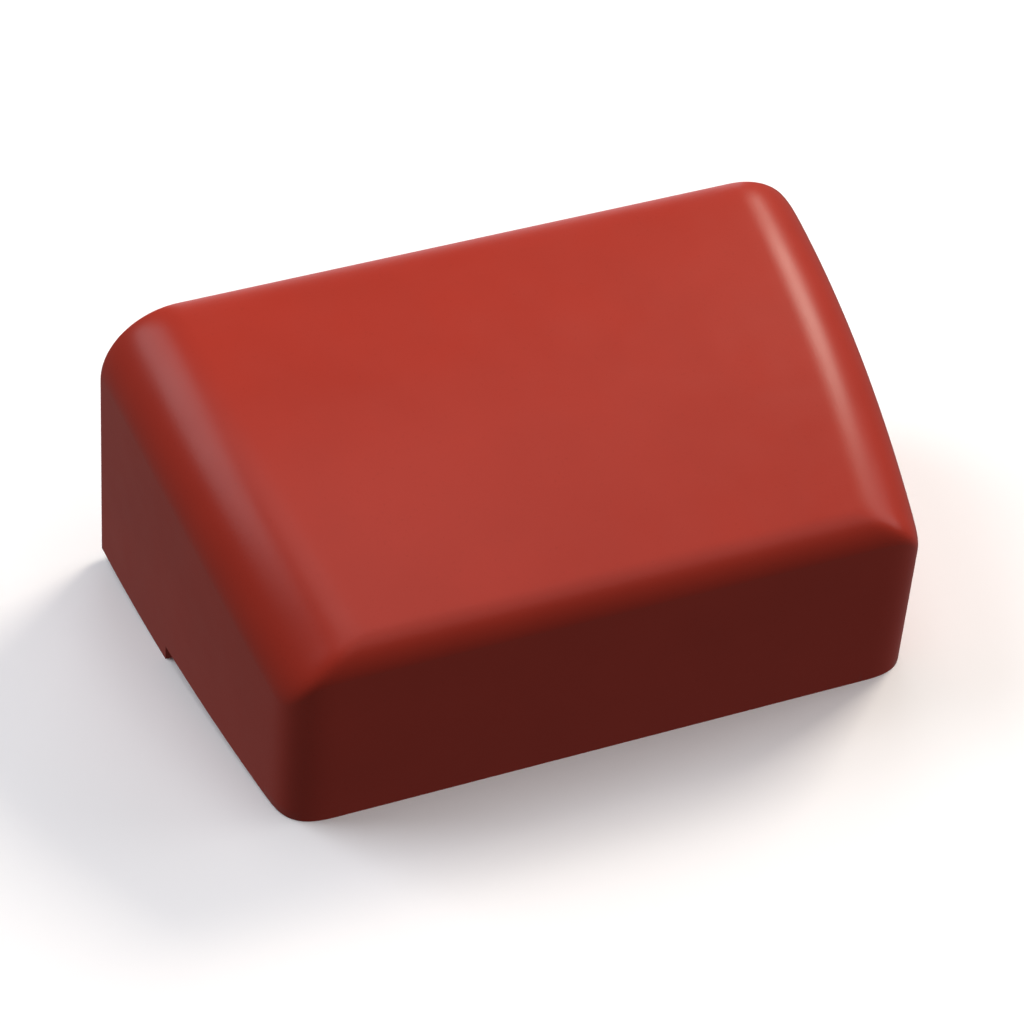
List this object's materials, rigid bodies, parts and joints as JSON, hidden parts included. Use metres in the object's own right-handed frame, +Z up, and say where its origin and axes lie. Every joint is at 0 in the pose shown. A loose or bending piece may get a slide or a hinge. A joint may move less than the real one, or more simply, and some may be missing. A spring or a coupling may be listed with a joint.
{
  "type": "clay bar",
  "caption": "Half of a moulded red detailing clay bar: rounded front and ends, crowned rising top, flat sharp cut face and a stepped underside.",
  "frame": {"origin": "on the table, under the middle of the bar's bounding box", "axes": "+X along the wide side and across the mirror plane, -Y to the moulded front, +Y to the flat cut face, +Z up from the table"},
  "size_m": [0.0706, 0.0422, 0.0306],
  "materials": {
    "clay": "satin"
  },
  "bodies": {
    "root": {"clay_bar": "clay"}
  },
  "joints": []
}
